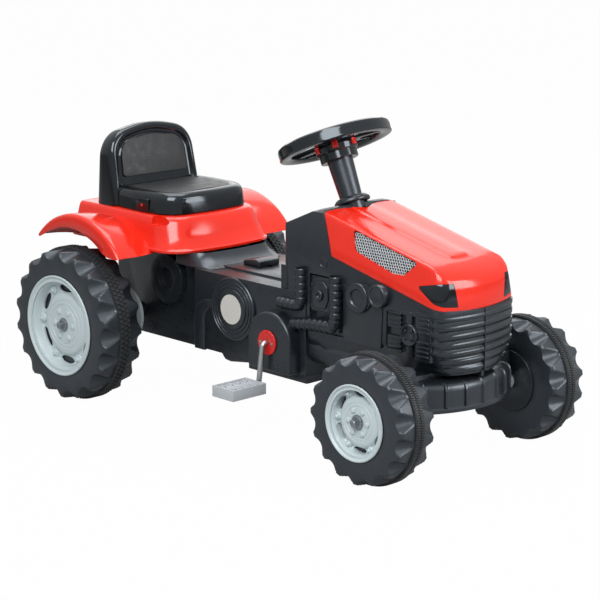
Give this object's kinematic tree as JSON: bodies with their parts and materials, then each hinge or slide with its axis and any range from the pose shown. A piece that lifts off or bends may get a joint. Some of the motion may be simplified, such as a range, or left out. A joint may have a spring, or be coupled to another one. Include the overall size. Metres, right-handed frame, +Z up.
{
  "type": "ride-on pedal tractor toy",
  "caption": "Child's pedal tractor: red hood and fenders on a black moulded body, chain-driven rear axle, pedal crank, and front wheels steered by a tilted wheel.",
  "frame": {"origin": "on the ground, under the middle of the tractor's length and width", "axes": "+X towards the nose, +Y towards the rider's left, +Z up"},
  "size_m": [1.0384, 0.534, 0.5823],
  "materials": {
    "red_shell": "glossy red blow moulding",
    "black_gloss": "glossy black",
    "black_moulding": "satin black blow moulding",
    "tyre_plastic": "satin black moulded tyre",
    "tread_rubber": "matt black rubber band",
    "rim_grey": "pale grey moulded plastic",
    "pedal_grey": "light grey moulded plastic",
    "red_trim": "red moulded plastic",
    "zinc_steel": "zinc-plated steel",
    "cap_metal": "pressed steel push cap",
    "silver_mesh": "silver perforated insert",
    "badge_grey": "plain pale disc",
    "dash_silver": "plain pale panel"
  },
  "bodies": {
    "chassis": {"rear_chassis": "black_moulding", "front_body": "black_moulding", "hood": "red_shell", "headlight_left": "black_gloss", "headlight_right": "black_gloss", "hood_grille_left": "silver_mesh", "hood_grille_right": "silver_mesh", "seat_base": "red_shell", "seat": "black_gloss", "dash_panel": "dash_silver", "steering_collar": "black_moulding", "steering_bearing": "black_moulding", "front_axle_beam": "black_moulding", "kingpin_bush_left": "black_moulding", "kingpin_bush_right": "black_moulding", "chain_guard": "black_moulding", "crank_bush_left": "red_trim", "crank_bush_right": "red_trim", "crank_bush_screws": "zinc_steel", "rear_axle_bush_left": "black_moulding", "rear_axle_bush_right": "black_moulding", "side_cover_left": "black_moulding", "side_cover_right": "black_moulding", "cover_badges": "badge_grey", "chain": "zinc_steel"},
    "steering": {"steering_wheel": "black_gloss", "steering_column": "black_moulding", "steering_rod": "zinc_steel"},
    "horn": {"horn_button": "red_trim"},
    "tie_rod": {"tie_rod": "black_moulding"},
    "rear_axle": {"rear_axle": "zinc_steel", "rear_sprocket": "zinc_steel", "rear_tyre_right": "tyre_plastic", "rear_tread_band_right": "tread_rubber", "rear_rim_right": "rim_grey", "rear_cap_left": "cap_metal", "rear_cap_right": "cap_metal"},
    "rear_wheel_left": {"rear_tyre_left": "tyre_plastic", "rear_tread_band_left": "tread_rubber", "rear_rim_left": "rim_grey"},
    "crank": {"crankshaft": "zinc_steel", "crank_sprocket": "zinc_steel"},
    "selector": {"selector_knob": "black_moulding"},
    "knuckle_left": {"knuckle_left": "zinc_steel", "front_cap_left": "cap_metal"},
    "front_wheel_left": {"front_tyre_left": "tyre_plastic", "front_tread_band_left": "tread_rubber", "front_rim_left": "rim_grey", "front_inner_disc_left": "black_moulding"},
    "pedal_left": {"pedal_left": "pedal_grey"},
    "knuckle_right": {"knuckle_right": "zinc_steel", "front_cap_right": "cap_metal"},
    "front_wheel_right": {"front_tyre_right": "tyre_plastic", "front_tread_band_right": "tread_rubber", "front_rim_right": "rim_grey", "front_inner_disc_right": "black_moulding"},
    "pedal_right": {"pedal_right": "pedal_grey"}
  },
  "joints": [
    {"name": "steering_turn", "type": "hinge", "parent": "chassis", "child": "steering", "pos_m": [0.16375, 0, 0.425], "axis": [-0.4067, 0, 0.9135], "range_deg": [-20, 20]},
    {"name": "horn_press", "type": "slide", "parent": "steering", "child": "horn", "axis": [-0.4067, 0, 0.9135], "range_m": [-0.004, 0], "stiffness_N_per_m": 1000, "springref_m": 0.002},
    {"name": "rear_axle_spin", "type": "hinge", "parent": "chassis", "child": "rear_axle", "pos_m": [-0.36925, 0, 0.15], "axis": [0, 1, 0], "continuous": true, "deforming": ["chain"]},
    {"name": "rear_wheel_left_spin", "type": "hinge", "parent": "rear_axle", "child": "rear_wheel_left", "pos_m": [-0.36925, 0.218, 0.15], "axis": [0, 1, 0], "continuous": true},
    {"name": "crank_spin", "type": "hinge", "parent": "chassis", "child": "crank", "pos_m": [0.08075, 0, 0.176], "axis": [0, 1, 0], "continuous": true},
    {"name": "selector_slide", "type": "slide", "parent": "chassis", "child": "selector", "axis": [1, 0, 0], "range_m": [0, 0.024]},
    {"name": "knuckle_left_turn", "type": "hinge", "parent": "chassis", "child": "knuckle_left", "pos_m": [0.40475, 0.138, 0.15], "axis": [0, 0, 1], "range_deg": [-20, 20]},
    {"name": "front_wheel_left_spin", "type": "hinge", "parent": "knuckle_left", "child": "front_wheel_left", "pos_m": [0.40475, 0.196, 0.1145], "axis": [0, 1, 0], "continuous": true},
    {"name": "pedal_left_spin", "type": "hinge", "parent": "crank", "child": "pedal_left", "pos_m": [0.09188, 0.192, 0.25522], "axis": [0, 1, 0], "continuous": true},
    {"name": "knuckle_right_turn", "type": "hinge", "parent": "chassis", "child": "knuckle_right", "pos_m": [0.40475, -0.138, 0.15], "axis": [0, 0, 1], "range_deg": [-20, 20]},
    {"name": "front_wheel_right_spin", "type": "hinge", "parent": "knuckle_right", "child": "front_wheel_right", "pos_m": [0.40475, -0.196, 0.1145], "axis": [0, 1, 0], "continuous": true},
    {"name": "pedal_right_spin", "type": "hinge", "parent": "crank", "child": "pedal_right", "pos_m": [0.06962, -0.192, 0.09678], "axis": [0, 1, 0], "continuous": true},
    {"name": "tie_rod_turn", "type": "hinge", "parent": "knuckle_left", "child": "tie_rod", "pos_m": [0.35475, 0.138, 0.13], "axis": [0, 0, 1], "range_deg": [-20, 20]}
  ],
  "couplings": [
    {"joint": "crank_spin", "follows": "rear_axle_spin", "ratio": 0.7},
    {"joint": "knuckle_left_turn", "follows": "steering_turn", "ratio": 1},
    {"joint": "knuckle_right_turn", "follows": "steering_turn", "ratio": 1},
    {"joint": "tie_rod_turn", "follows": "steering_turn", "ratio": -1}
  ]
}
